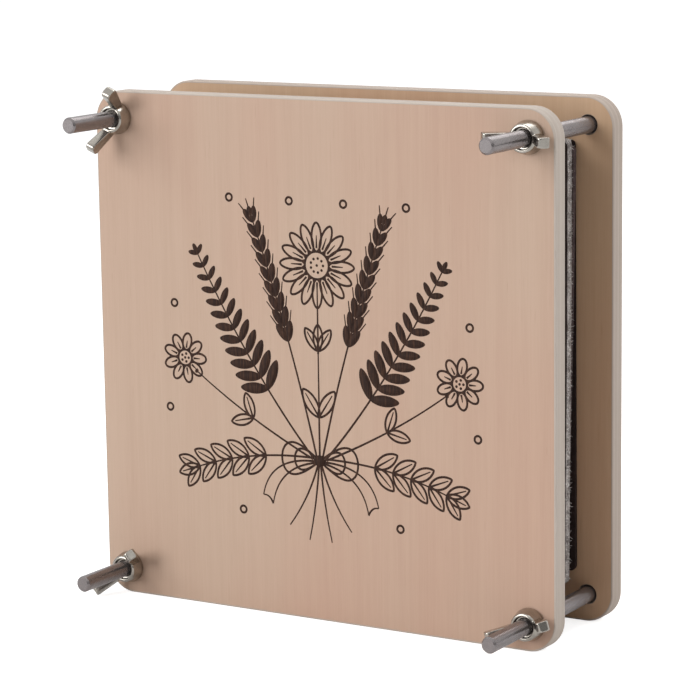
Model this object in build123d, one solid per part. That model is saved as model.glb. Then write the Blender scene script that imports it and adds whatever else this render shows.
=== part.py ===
from build123d import *
import os

# Boards
BOARD_SIDE = 160.0
BOARD_THICKNESS = 6.2
BOARD_CORNER_RADIUS = 9.2
BOARD_EDGE_ROUND = 0.6

# Carriage bolts, each as long as it stands out of its head's seat on the back board
BOLT_DIAMETER = 5.0
BOLT_LENGTH = 70.0
BOLT_INSET = 8.5
BOLT_TIP_CHAMFER = 0.6
HEAD_DIAMETER = 13.2
HEAD_HEIGHT = 3.0
HEAD_RIM_HEIGHT = 0.7
NECK_WIDTH = 5.2
NECK_LENGTH = 3.6

# Wing nuts, with the wings' span and height taken before their tips are rounded
COLLAR_DIAMETER = 10.0
COLLAR_TOP_DIAMETER = 8.6
COLLAR_FOOT_HEIGHT = 1.2
COLLAR_HEIGHT = 4.6
BORE_SINK_WIDTH = 0.7
WING_SPAN = 23.0
WING_HEIGHT = 12.0
WING_THICKNESS = 3.0
WING_TIP_ROUND = 1.3
WING_EDGE_ROUND = 0.6

# Pressing sheets
CARD_COUNT = 4
SLOT_BLOTTER_COUNT = 2
CARD_THICKNESS = 2.5
BLOTTER_THICKNESS = 1.95
BLOTTER_INSET = 2.0
SHEET_CORNER_RADIUS = 1.5

# Clearances: radial for round fits, to each side for the square neck, between neighbours for the sheets
BOLT_HOLE_CLEARANCE = 0.5
NECK_CLEARANCE = 0.05
THREAD_CLEARANCE = 0.05
SHEET_CLEARANCE = 1.5
LAYER_GAP = 0.14

# How far every cut runs past the face where it starts
OVERRUN = 1.0

# Corners of the boards as signs along X and Z, and the angle of each nut's wings from +X in degrees
CORNER_SIGNS = {
    "top_left": (-1, 1),
    "top_right": (1, 1),
    "bottom_left": (-1, -1),
    "bottom_right": (1, -1),
}
WING_ANGLES = {
    "top_left": 68.0,
    "top_right": -2.0,
    "bottom_left": 43.0,
    "bottom_right": 17.0,
}

# The rounding of a collar's rim, as a share of the rim's width
COLLAR_ROUND_SHARE = 0.67
# Where a wing's tip starts, as a share of the wing's height, and ends, as a share of the half span
WING_TIP_START_SHARE = 0.71
WING_TIP_END_SHARE = 0.74
# How high a wing's root ends inside the collar, as a share of the collar's height
WING_ROOT_SHARE = 0.97

BOLT_RADIUS = BOLT_DIAMETER / 2
HOLE_RADIUS = BOLT_RADIUS + BOLT_HOLE_CLEARANCE
BORE_RADIUS = BOLT_RADIUS + THREAD_CLEARANCE
BOLT_OFFSET = BOARD_SIDE / 2 - BOLT_INSET
CARD_SIDE = 2 * (BOLT_OFFSET - BOLT_RADIUS - SHEET_CLEARANCE)
BLOTTER_SIDE = CARD_SIDE - 2 * BLOTTER_INSET

# Layers from the back board to the front board: slots of blotting sheets with a card between each two
SLOT = ["blotting_sheet"] * SLOT_BLOTTER_COUNT
LAYERS = (SLOT + ["corrugated_card"]) * CARD_COUNT + SLOT
LAYER_THICKNESS = {"blotting_sheet": BLOTTER_THICKNESS, "corrugated_card": CARD_THICKNESS}
LAYER_SIDE = {"blotting_sheet": BLOTTER_SIDE, "corrugated_card": CARD_SIDE}
STACK_DEPTH = LAYER_GAP + sum(LAYER_THICKNESS[layer] + LAYER_GAP for layer in LAYERS)

# Planes across the press: the front is towards -Y, and Y = 0 is halfway from the bolts' tips to their heads
BACK_OUTER_Y = (BOLT_LENGTH - HEAD_HEIGHT) / 2
BACK_INNER_Y = BACK_OUTER_Y - BOARD_THICKNESS
FRONT_INNER_Y = BACK_INNER_Y - STACK_DEPTH
FRONT_OUTER_Y = FRONT_INNER_Y - BOARD_THICKNESS
CENTRE_Z = BOARD_SIDE / 2


def stand(shape, y, x=0, z=CENTRE_Z):
    """Turns a shape that was built up +Z so that it points to the front, and sets its base at x, y, z."""
    return Pos(x, y, z) * Rot(90, 0, 0) * shape


def at_corner(shape, corner, height=0):
    """Sets a shape on the axis of one corner's bolt, for a board that lies on the XY plane."""
    x_sign, z_sign = CORNER_SIGNS[corner]
    return Pos(x_sign * BOLT_OFFSET, z_sign * BOLT_OFFSET, height) * shape


def square_plate(side, thickness, corner_radius):
    """A square plate with rounded corners, lying on the XY plane."""
    return extrude(RectangleRounded(side, side, corner_radius), amount=thickness)


def drilled_board():
    """A board with eased rims and a clear hole for each bolt."""
    board = square_plate(BOARD_SIDE, BOARD_THICKNESS, BOARD_CORNER_RADIUS)
    rims = board.faces().filter_by(Axis.Z).edges()
    board = fillet(rims, BOARD_EDGE_ROUND)
    drill = Cylinder(HOLE_RADIUS, BOARD_THICKNESS + 2 * OVERRUN)
    for corner in CORNER_SIGNS:
        board -= at_corner(drill, corner, BOARD_THICKNESS / 2)
    return board


def socketed_board():
    """A drilled board with a square socket in its lower face, round each hole, for the neck of a bolt."""
    board = drilled_board()
    width = NECK_WIDTH + 2 * NECK_CLEARANCE
    top = NECK_LENGTH + NECK_CLEARANCE
    socket = Box(width, width, top + OVERRUN)
    for corner in CORNER_SIGNS:
        board -= at_corner(socket, corner, (top - OVERRUN) / 2)
    return board


def carriage_bolt():
    """A bolt seated on the XY plane: domed head below, square neck and long shank with a chamfered tip above."""
    head_radius = HEAD_DIAMETER / 2
    crown_height = HEAD_HEIGHT - HEAD_RIM_HEIGHT
    crown_radius = (head_radius**2 + crown_height**2) / (2 * crown_height)
    disc = Pos(0, 0, -HEAD_HEIGHT / 2) * Cylinder(head_radius, HEAD_HEIGHT)
    head = disc & Pos(0, 0, crown_radius - HEAD_HEIGHT) * Sphere(crown_radius)
    neck = Pos(0, 0, NECK_LENGTH / 2) * Box(NECK_WIDTH, NECK_WIDTH, NECK_LENGTH)
    shank = Pos(0, 0, BOLT_LENGTH / 2) * Cylinder(BOLT_RADIUS, BOLT_LENGTH)
    tip = shank.edges().sort_by(Axis.Z)[-1]
    return head + neck + chamfer(tip, BOLT_TIP_CHAMFER)


def collar():
    """The round body of a wing nut: a straight foot, a tapered wall and a rounded rim with a sunk bore."""
    foot_radius = COLLAR_DIAMETER / 2
    top_radius = COLLAR_TOP_DIAMETER / 2
    sink_radius = BORE_RADIUS + BORE_SINK_WIDTH
    wall = Polyline(
        (BORE_RADIUS, 0),
        (foot_radius, 0),
        (foot_radius, COLLAR_FOOT_HEIGHT),
        (top_radius, COLLAR_HEIGHT),
        (sink_radius, COLLAR_HEIGHT),
        (BORE_RADIUS, COLLAR_HEIGHT - BORE_SINK_WIDTH),
        close=True,
    )
    profile = make_face(wall)
    rim = profile.vertices().group_by(Axis.Y)[-1].sort_by(Axis.X)[-1]
    profile = fillet(rim, COLLAR_ROUND_SHARE * (top_radius - sink_radius))
    return revolve(Plane.XZ * profile, Axis.Z)


def wing():
    """One wing of a nut towards +X: a thick bar that leaves the collar's wall and leans outwards."""
    foot_radius = COLLAR_DIAMETER / 2
    top_radius = COLLAR_TOP_DIAMETER / 2
    root_radius = (BORE_RADIUS + BORE_SINK_WIDTH + top_radius) / 2
    reach = WING_SPAN / 2
    edge = Polyline(
        (root_radius, COLLAR_FOOT_HEIGHT),
        (foot_radius, COLLAR_FOOT_HEIGHT),
        (reach, WING_HEIGHT * WING_TIP_START_SHARE),
        (reach * WING_TIP_END_SHARE, WING_HEIGHT),
        (root_radius, COLLAR_HEIGHT * WING_ROOT_SHARE),
        close=True,
    )
    outline = make_face(edge)
    tip = outline.vertices().sort_by(Axis.X)[-2:]
    outline = fillet(tip, WING_TIP_ROUND)
    bar = extrude(Plane.XZ * outline, amount=WING_THICKNESS / 2, both=True)
    free_edges = bar.edges().filter_by_position(Axis.X, root_radius, reach, inclusive=(False, True))
    return fillet(free_edges, WING_EDGE_ROUND)


def wing_nut():
    """A nut whose collar stands on the XY plane, with two wings along X."""
    return collar() + wing() + Rot(0, 0, 180) * wing()


def pressing_sheets():
    """Every sheet in its place, by name, counted from the back board."""
    sheets = {}
    y = BACK_INNER_Y - LAYER_GAP
    for layer in LAYERS:
        number = 1 + sum(name.startswith(layer) for name in sheets)
        plate = square_plate(LAYER_SIDE[layer], LAYER_THICKNESS[layer], SHEET_CORNER_RADIUS)
        sheets[f"{layer}_{number:02d}"] = stand(plate, y)
        y -= LAYER_THICKNESS[layer] + LAYER_GAP
    return sheets


def press():
    """All pieces of the press in their places, by name."""
    pieces = {
        "back_board": stand(socketed_board(), BACK_OUTER_Y),
        "front_board": stand(drilled_board(), FRONT_INNER_Y),
    }
    bolt = carriage_bolt()
    nut = wing_nut()
    for corner, (x_sign, z_sign) in CORNER_SIGNS.items():
        x = x_sign * BOLT_OFFSET
        z = CENTRE_Z + z_sign * BOLT_OFFSET
        turned_nut = Rot(0, 0, WING_ANGLES[corner]) * nut
        pieces[f"carriage_bolt_{corner}"] = stand(bolt, BACK_OUTER_Y, x, z)
        pieces[f"wing_nut_{corner}"] = stand(turned_nut, FRONT_OUTER_Y, x, z)
    return pieces | pressing_sheets()


os.makedirs("parts", exist_ok=True)
for node, piece in press().items():
    export_step(piece, f"parts/{node}.step")
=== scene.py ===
"""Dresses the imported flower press: plywood boards, a drawn bouquet, threaded bolts, wing nuts and sheets."""

import functools
import logging
import math
from collections.abc import Sequence
from dataclasses import dataclass, fields
from enum import Enum
from typing import Any

import bmesh
import bpy
from mathutils import Matrix, Vector


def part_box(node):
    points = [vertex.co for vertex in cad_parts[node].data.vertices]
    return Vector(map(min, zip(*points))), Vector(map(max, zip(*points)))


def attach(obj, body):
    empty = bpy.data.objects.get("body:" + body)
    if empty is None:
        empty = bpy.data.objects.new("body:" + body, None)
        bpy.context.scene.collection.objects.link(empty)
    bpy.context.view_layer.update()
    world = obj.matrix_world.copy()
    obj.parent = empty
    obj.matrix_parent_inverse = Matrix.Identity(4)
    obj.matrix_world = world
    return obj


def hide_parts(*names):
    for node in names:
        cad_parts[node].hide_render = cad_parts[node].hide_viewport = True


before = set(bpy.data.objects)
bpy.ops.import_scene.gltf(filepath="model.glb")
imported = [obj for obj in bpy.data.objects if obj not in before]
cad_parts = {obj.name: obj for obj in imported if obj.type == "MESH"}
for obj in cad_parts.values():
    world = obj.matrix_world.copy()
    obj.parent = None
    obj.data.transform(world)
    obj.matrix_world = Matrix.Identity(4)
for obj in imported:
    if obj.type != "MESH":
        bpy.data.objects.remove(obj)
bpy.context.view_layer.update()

LOG = logging.getLogger("flower_press")
MM = 0.001
WHITE = (1.0, 1.0, 1.0, 1.0)
SHARP_ANGLE = math.radians(40)
DEPTH_ATTRIBUTE = "depth_share"
PLY_COUNT = 5

Colour = tuple[float, float, float, float]
Spot = tuple[float, float]
Triple = tuple[float, float, float]
Inputs = dict[str | int, Any]
Socket = bpy.types.NodeSocket
Mesh = bpy.types.Mesh
Piece = bpy.types.Object
Shell = bmesh.types.BMesh
Ring = list[bmesh.types.BMVert]


def middle_of(node: str) -> Vector:
    """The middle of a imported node's box."""
    low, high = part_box(node)
    return (low + high) / 2


def front_of(node: str) -> Vector:
    """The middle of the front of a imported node's box."""
    low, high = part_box(node)
    return Vector(((low.x + high.x) / 2, low.y, (low.z + high.z) / 2))


class Slot(Enum):
    """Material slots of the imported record."""

    PLYWOOD = "plywood"
    BOLT_STEEL = "bolt_steel"
    NUT_PLATING = "nut_plating"
    GREY_CARDBOARD = "grey_cardboard"
    BLOTTING_PAPER = "blotting_paper"


class Corner(Enum):
    """Corners of the press, each with the angle of its nut's wings from +X, seen from the front."""

    TOP_LEFT = ("top_left", 68.0)
    TOP_RIGHT = ("top_right", -2.0)
    BOTTOM_LEFT = ("bottom_left", 43.0)
    BOTTOM_RIGHT = ("bottom_right", 17.0)

    @property
    def bolt(self) -> str:
        """The bolt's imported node."""
        return f"carriage_bolt_{self.value[0]}"

    @property
    def nut(self) -> str:
        """The nut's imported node."""
        return f"wing_nut_{self.value[0]}"

    @property
    def wing_angle(self) -> float:
        """The angle of the nut's wings in radians."""
        return math.radians(self.value[1])

    def axis(self) -> Vector:
        """A point of the bolt's axis, which runs across the press."""
        return middle_of(self.bolt)


class LeafStyle(Enum):
    """How the ink draws a leaf."""

    OUTLINE = 0
    FILLED = 1


def srgb(red: int, green: int, blue: int) -> Colour:
    """Turns a colour as a screen shows it, 0 to 255, into the linear colour that a shader takes.

    Args:
        red: Red share.
        green: Green share.
        blue: Blue share.

    Returns:
        The linear colour with full alpha.
    """
    shares = [value / 255 for value in (red, green, blue)]
    linear = [c / 12.92 if c <= 0.04045 else ((c + 0.055) / 1.055) ** 2.4 for c in shares]
    return (linear[0], linear[1], linear[2], 1.0)


class Field:
    """A number that changes over a surface or mesh: arithmetic on it adds Math nodes to its tree."""

    def __init__(self, graph: "Graph", socket: Socket) -> None:
        """Wraps one output socket of a graph's node."""
        self.graph = graph
        self.socket = socket

    def step(self, operation: str, *others: Any) -> "Field":
        """Adds one Math node with this field as its first operand."""
        return self.graph.math(operation, self, *others)

    def __add__(self, other: Any) -> "Field":
        """This field plus another field or number."""
        return self.step("ADD", other)

    def __sub__(self, other: Any) -> "Field":
        """This field less another field or number."""
        return self.step("SUBTRACT", other)

    def __rsub__(self, other: Any) -> "Field":
        """A number less this field."""
        return self.graph.math("SUBTRACT", other, self)

    def __mul__(self, other: Any) -> "Field":
        """This field times another field or number."""
        return self.step("MULTIPLY", other)

    def __truediv__(self, other: Any) -> "Field":
        """This field over another field or number."""
        return self.step("DIVIDE", other)


class Graph:
    """Adds nodes to one node tree, with each input given as a value or as the socket that feeds it."""

    def __init__(self, tree: bpy.types.NodeTree) -> None:
        """Takes the tree that the nodes go into."""
        self.tree = tree

    def node(self, kind: str, inputs: Inputs | None = None, **settings: Any) -> bpy.types.Node:
        """Adds a node.

        Args:
            kind: The node's type name.
            inputs: Values, fields or sockets for its inputs, by name or number.
            **settings: Properties of the node itself.

        Returns:
            The new node.
        """
        made = self.tree.nodes.new(kind)
        for name, value in settings.items():
            setattr(made, name, value)
        for key, value in (inputs or {}).items():
            self.feed(made.inputs[key], value)
        return made

    def feed(self, socket: Socket, value: Any) -> None:
        """Links a field or socket into an input, or sets the input's own value."""
        source = value.socket if isinstance(value, Field) else value
        if isinstance(source, Socket):
            self.tree.links.new(source, socket)
        else:
            socket.default_value = source

    def field(self, kind: str, output: str | int, inputs: Inputs | None = None, **settings: Any) -> Field:
        """Adds a node and returns one of its outputs as a field."""
        return Field(self, self.node(kind, inputs, **settings).outputs[output])

    def math(self, operation: str, *operands: Any) -> Field:
        """Adds a Math node with these operands."""
        return self.field("ShaderNodeMath", 0, dict(enumerate(operands)), operation=operation)

    def spread(self, value: Any, low: float, high: float, to_low: Any = 0.0, to_high: Any = 1.0) -> Field:
        """Maps a field from one range to another smoothly, and holds it at the ends."""
        inputs = {"Value": value, "From Min": low, "From Max": high, "To Min": to_low, "To Max": to_high}
        return self.field("ShaderNodeMapRange", 0, inputs, interpolation_type="SMOOTHSTEP")

    def axes(self, vector: Any) -> tuple[Field, Field, Field]:
        """Splits a vector into three fields."""
        parts = self.node("ShaderNodeSeparateXYZ", {0: vector})
        return (Field(self, parts.outputs[0]), Field(self, parts.outputs[1]), Field(self, parts.outputs[2]))

    def vector(self, x: Any = 0.0, y: Any = 0.0, z: Any = 0.0) -> Socket:
        """Joins three values or fields into a vector."""
        return self.node("ShaderNodeCombineXYZ", {0: x, 1: y, 2: z}).outputs[0]

    def noise(self, vector: Any, scale: float, detail: float = 2.0) -> Field:
        """Adds a noise texture, from 0 to 1."""
        return self.field("ShaderNodeTexNoise", 0, {"Vector": vector, "Scale": scale, "Detail": detail})

    def grained(self, vector: Any, scale: Triple, detail: float = 2.0) -> Field:
        """Adds a noise texture with a scale for each axis, from 0 to 1."""
        scaled = self.node("ShaderNodeVectorMath", {0: vector, 1: scale}, operation="MULTIPLY")
        return self.noise(scaled.outputs[0], 1.0, detail)

    def mix(self, factor: Any, first: Any, second: Any, blend: str = "MIX") -> Socket:
        """Mixes two colours."""
        inputs = {0: factor, 6: first, 7: second}
        return self.node("ShaderNodeMix", inputs, data_type="RGBA", blend_type=blend).outputs[2]

    def bump(self, height: Field, depth: float, strength: float = 1.0) -> Socket:
        """Adds a bump of the given depth in metres and returns its normal."""
        inputs = {"Height": height, "Distance": depth, "Strength": strength}
        return self.node("ShaderNodeBump", inputs).outputs[0]

    def object_place(self) -> Socket:
        """The place on the piece, in metres."""
        return self.node("ShaderNodeTexCoord").outputs["Object"]

    def group(self, tree: bpy.types.NodeTree, inputs: Inputs) -> bpy.types.NodeOutputs:
        """Places a node group and returns its outputs."""
        return self.node("ShaderNodeGroup", inputs, node_tree=tree).outputs


def blank_graph(owner: bpy.types.Material | bpy.types.World) -> Graph:
    """Clears the nodes of a material or a world and returns its graph."""
    owner.use_nodes = True
    owner.node_tree.nodes.clear()
    return Graph(owner.node_tree)


class ShaderGroup:
    """A shader node group with named inputs and outputs, built once and placed in several materials."""

    KINDS = {"Vector": "NodeSocketVector", "Color": "NodeSocketColor", "Value": "NodeSocketFloat"}

    def __init__(self, name: str, inputs: dict[str, str], outputs: dict[str, str]) -> None:
        """Makes the empty group.

        Args:
            name: The group's name.
            inputs: Kind of each input by its name.
            outputs: Kind of each output by its name.
        """
        self.tree = bpy.data.node_groups.new(name, "ShaderNodeTree")
        for way, sockets in (("INPUT", inputs), ("OUTPUT", outputs)):
            for socket, kind in sockets.items():
                self.tree.interface.new_socket(socket, in_out=way, socket_type=self.KINDS[kind])
        self.graph = Graph(self.tree)
        self.entry = self.tree.nodes.new("NodeGroupInput").outputs
        self.exit = self.tree.nodes.new("NodeGroupOutput").inputs

    def close(self, outputs: dict[str, Any]) -> bpy.types.NodeTree:
        """Feeds the outputs and returns the finished tree."""
        for name, value in outputs.items():
            self.graph.feed(self.exit[name], value)
        return self.tree


@functools.cache
def wood_grain() -> bpy.types.NodeTree:
    """A group for wood whose grain runs along Z: broad tints, growth streaks, fibres and short pores."""
    group = ShaderGroup(
        "Wood grain",
        {"Place": "Vector", "Pale": "Color", "Deep": "Color", "Tint": "Color"},
        {"Color": "Color", "Height": "Value"},
    )
    graph = group.graph
    place, pale, deep = (group.entry[name] for name in ("Place", "Pale", "Deep"))
    broad = graph.grained(place, (18.0, 18.0, 6.0))
    streaks = graph.grained(place, (420.0, 420.0, 5.0), 3.0)
    fibres = graph.grained(place, (2600.0, 2600.0, 55.0))
    pores = graph.spread(graph.grained(place, (1900.0, 1900.0, 95.0), 1.0), 0.66, 0.76)
    share = graph.spread(streaks * 0.55 + fibres * 0.45, 0.28, 0.72)
    wood = graph.mix(share, pale, deep)
    tinted = graph.mix(graph.spread(broad, 0.34, 0.66), wood, group.entry["Tint"], "MULTIPLY")
    darkened = graph.mix(pores * 0.12, tinted, deep, "MULTIPLY")
    return group.close({"Color": darkened, "Height": fibres * 0.6 + streaks * 0.5 - pores * 0.5})


@functools.cache
def handled_metal() -> bpy.types.NodeTree:
    """A group for worked metal: smudges that dull it, fine scratches and shallow waves of the surface."""
    group = ShaderGroup(
        "Handled metal",
        {"Place": "Vector", "Bright": "Color", "Dull": "Color", "Smooth": "Value", "Rough": "Value"},
        {"Color": "Color", "Roughness": "Value", "Height": "Value"},
    )
    graph = group.graph
    place = group.entry["Place"]
    smudges = graph.spread(graph.noise(place, 260.0, 3.0), 0.35, 0.7)
    scratches = graph.spread(graph.grained(place, (2400.0, 260.0, 2400.0)), 0.56, 0.72)
    waves = graph.noise(place, 420.0, 1.0)
    colour = graph.mix(smudges * 0.6 + scratches * 0.15, group.entry["Bright"], group.entry["Dull"])
    smooth = Field(graph, group.entry["Smooth"])
    rough = Field(graph, group.entry["Rough"])
    roughness = smooth + (rough - smooth) * (smudges * 0.6 + scratches * 0.4)
    return group.close({"Color": colour, "Roughness": roughness, "Height": waves * 0.8 - scratches * 0.2})


@functools.cache
def paper_fibres() -> bpy.types.NodeTree:
    """A group for pulp boards and papers: cloudy pulp, crossing fibres and pale flecks."""
    group = ShaderGroup(
        "Paper fibres",
        {"Place": "Vector", "Pulp": "Color", "Shade": "Color", "Fleck": "Color", "Fleck Share": "Value"},
        {"Color": "Color", "Height": "Value"},
    )
    graph = group.graph
    place = group.entry["Place"]
    clouds = graph.noise(place, 300.0, 3.0)
    along = graph.grained(place, (3200.0, 3200.0, 420.0))
    across = graph.grained(place, (420.0, 3200.0, 3200.0))
    fibres = along.step("MAXIMUM", across)
    flecks = graph.spread(graph.noise(place, 1500.0), 0.54, 0.64) * Field(graph, group.entry["Fleck Share"])
    share = graph.spread(clouds * 0.5 + fibres * 0.5, 0.36, 0.68)
    pulp = graph.mix(share, group.entry["Shade"], group.entry["Pulp"])
    flecked = graph.mix(flecks, pulp, group.entry["Fleck"])
    return group.close({"Color": flecked, "Height": fibres + flecks * 0.6})


@dataclass(frozen=True)
class Finish:
    """A finish with its own material, made when it is first asked for."""

    name: str

    def material(self) -> bpy.types.Material:
        """The finish's material."""
        made = bpy.data.materials.get(self.name)
        if made is None:
            made = bpy.data.materials.new(self.name)
            graph = blank_graph(made)
            shader = graph.node("ShaderNodeBsdfPrincipled", self.surface(graph))
            graph.node("ShaderNodeOutputMaterial", {"Surface": shader.outputs[0]})
        return made

    def surface(self, graph: Graph) -> Inputs:
        """Adds the finish's own nodes to a material's graph and returns the inputs of its shader."""
        raise NotImplementedError


@dataclass(frozen=True)
class VeneerFinish(Finish):
    """Sanded pale face veneer with upright grain."""

    pale: Colour = srgb(197, 171, 151)
    deep: Colour = srgb(192, 165, 145)
    tint: Colour = srgb(253, 244, 243)
    roughness: float = 0.56
    grain_depth: float = 0.03 * MM

    def surface(self, graph: Graph) -> Inputs:
        """Adds the veneer's grain and returns the inputs of its shader."""
        inputs = {"Place": graph.object_place(), "Pale": self.pale, "Deep": self.deep, "Tint": self.tint}
        grain = graph.group(wood_grain(), inputs)
        height = Field(graph, grain["Height"])
        return {
            "Base Color": grain["Color"],
            "Roughness": height * 0.12 + (self.roughness - 0.06),
            "Normal": graph.bump(height, self.grain_depth, 0.5),
            "Specular IOR Level": 0.3,
        }


@dataclass(frozen=True)
class PlyEdgeFinish(Finish):
    """Cut edge of plywood: plies in turn along and across the grain, with thin glue lines between them."""

    pale: Colour = srgb(205, 194, 184)
    deep: Colour = srgb(196, 184, 173)
    tint: Colour = srgb(244, 240, 238)
    cross_tint: Colour = srgb(241, 236, 233)
    glue: Colour = srgb(150, 132, 118)
    roughness: float = 0.66
    ply_count: int = PLY_COUNT
    glue_share: float = 0.05
    grain_depth: float = 0.04 * MM

    def surface(self, graph: Graph) -> Inputs:
        """Adds the plies and the glue between them and returns the inputs of the shader."""
        place = graph.object_place()
        x, y, z = graph.axes(place)
        lengthwise = graph.vector(y, y * 2.0, x + z)
        inputs = {"Place": lengthwise, "Pale": self.pale, "Deep": self.deep, "Tint": self.tint}
        grain = graph.group(wood_grain(), inputs)
        depth = graph.field("ShaderNodeAttribute", "Fac", attribute_name=DEPTH_ATTRIBUTE)
        plies = depth * float(self.ply_count)
        crossed = plies.step("FLOOR").step("MODULO", 2.0)
        nearest_line = plies.step("PINGPONG", 0.5)
        glue = graph.spread(nearest_line, 0.0, self.glue_share, 1.0, 0.0)
        ends = graph.noise(place, 2400.0)
        end_grain = graph.mix(ends * 0.7, grain["Color"], self.cross_tint, "MULTIPLY")
        layered = graph.mix(crossed, grain["Color"], end_grain)
        height = Field(graph, grain["Height"]) + ends * crossed * 0.6 - glue
        return {
            "Base Color": graph.mix(glue * 0.35, layered, self.glue),
            "Roughness": ends * 0.1 + (self.roughness - 0.05),
            "Normal": graph.bump(height, self.grain_depth, 0.6),
            "Specular IOR Level": 0.25,
        }


@dataclass(frozen=True)
class InkFinish(Finish):
    """Dark brown print that has sunk into the wood unevenly."""

    dark: Colour = srgb(46, 30, 24)
    worn: Colour = srgb(74, 51, 40)
    roughness: float = 0.72

    def surface(self, graph: Graph) -> Inputs:
        """Adds the ink's wear and returns the inputs of its shader."""
        wear = graph.spread(graph.grained(graph.object_place(), (1800.0, 1800.0, 220.0)), 0.4, 0.72)
        return {
            "Base Color": graph.mix(wear, self.dark, self.worn),
            "Roughness": wear * 0.12 + self.roughness,
            "Specular IOR Level": 0.2,
        }


@dataclass(frozen=True)
class MetalFinish(Finish):
    """Plated or bare metal with smudges and fine scratches."""

    bright: Colour = srgb(174, 169, 161)
    dull: Colour = srgb(144, 139, 131)
    smooth: float = 0.15
    rough: float = 0.27
    wave_depth: float = 0.02 * MM
    metallic: float = 1.0

    def surface(self, graph: Graph) -> Inputs:
        """Adds the metal's smudges and scratches and returns the inputs of its shader."""
        inputs = {"Place": graph.object_place(), "Bright": self.bright, "Dull": self.dull}
        worn = graph.group(handled_metal(), inputs | {"Smooth": self.smooth, "Rough": self.rough})
        return {
            "Base Color": worn["Color"],
            "Metallic": self.metallic,
            "Roughness": worn["Roughness"],
            "Normal": graph.bump(Field(graph, worn["Height"]), self.wave_depth, 0.4),
        }


@dataclass(frozen=True)
class PulpFinish(Finish):
    """Pulp card or paper with fibres and flecks."""

    pulp: Colour = srgb(226, 221, 218)
    shade: Colour = srgb(138, 130, 128)
    fleck: Colour = srgb(253, 250, 247)
    fleck_share: float = 0.8
    roughness: float = 0.9
    fibre_depth: float = 0.08 * MM

    def surface(self, graph: Graph) -> Inputs:
        """Adds the pulp's fibres and flecks and returns the inputs of its shader."""
        inputs = {"Place": graph.object_place(), "Pulp": self.pulp, "Shade": self.shade}
        fibres = graph.group(paper_fibres(), inputs | {"Fleck": self.fleck, "Fleck Share": self.fleck_share})
        height = Field(graph, fibres["Height"])
        return {
            "Base Color": fibres["Color"],
            "Roughness": height * 0.08 + (self.roughness - 0.08),
            "Normal": graph.bump(height, self.fibre_depth, 0.8),
            "Specular IOR Level": 0.15,
        }


VENEER = VeneerFinish("Face veneer")
# The back board's veneer is a warmer, more saturated copy of the face veneer. It is painted shade, tinted like
# the shade that falls on its inner face between the boards.
SHADE_TINTED_BACK_VENEER = VeneerFinish("Back veneer", srgb(200, 168, 137), srgb(194, 161, 130))
PLY_EDGE = PlyEdgeFinish("Plywood edge")
INK = InkFinish("Brown print")
STEEL = MetalFinish("Bolt steel", srgb(143, 137, 137), srgb(128, 122, 122), 0.21, 0.3, 0.006 * MM, 0.8)
NICKEL = MetalFinish("Nut plating")
CARD = PulpFinish("Grey card")
# Near-black blotting paper: the dark colour is painted shade, standing in for the shade in the narrow gaps
# between the sheets at the stack's edge.
PAINTED_SHADE_BLOTTER = PulpFinish(
    "Charcoal blotting paper", srgb(54, 43, 41), srgb(38, 29, 28), srgb(76, 64, 61), 0.3, 0.94, 0.1 * MM
)
GREY_BLOTTER = PulpFinish(
    "Grey blotting paper", srgb(106, 93, 93), srgb(82, 71, 71), srgb(132, 119, 118), 0.4, 0.94, 0.1 * MM
)


def put(name: str, data: bpy.types.ID) -> Piece:
    """Adds an object with this mesh, curve, lamp or camera to the scene."""
    made = bpy.data.objects.new(name, data)
    bpy.context.scene.collection.objects.link(made)
    return made


def baked(holder: Piece) -> Mesh:
    """Turns an object and its modifiers into a plain mesh, and removes the object."""
    depsgraph = bpy.context.evaluated_depsgraph_get()
    mesh = bpy.data.meshes.new_from_object(holder.evaluated_get(depsgraph), depsgraph=depsgraph)
    holder.modifiers.clear()
    bpy.data.objects.remove(holder)
    return mesh


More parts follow.
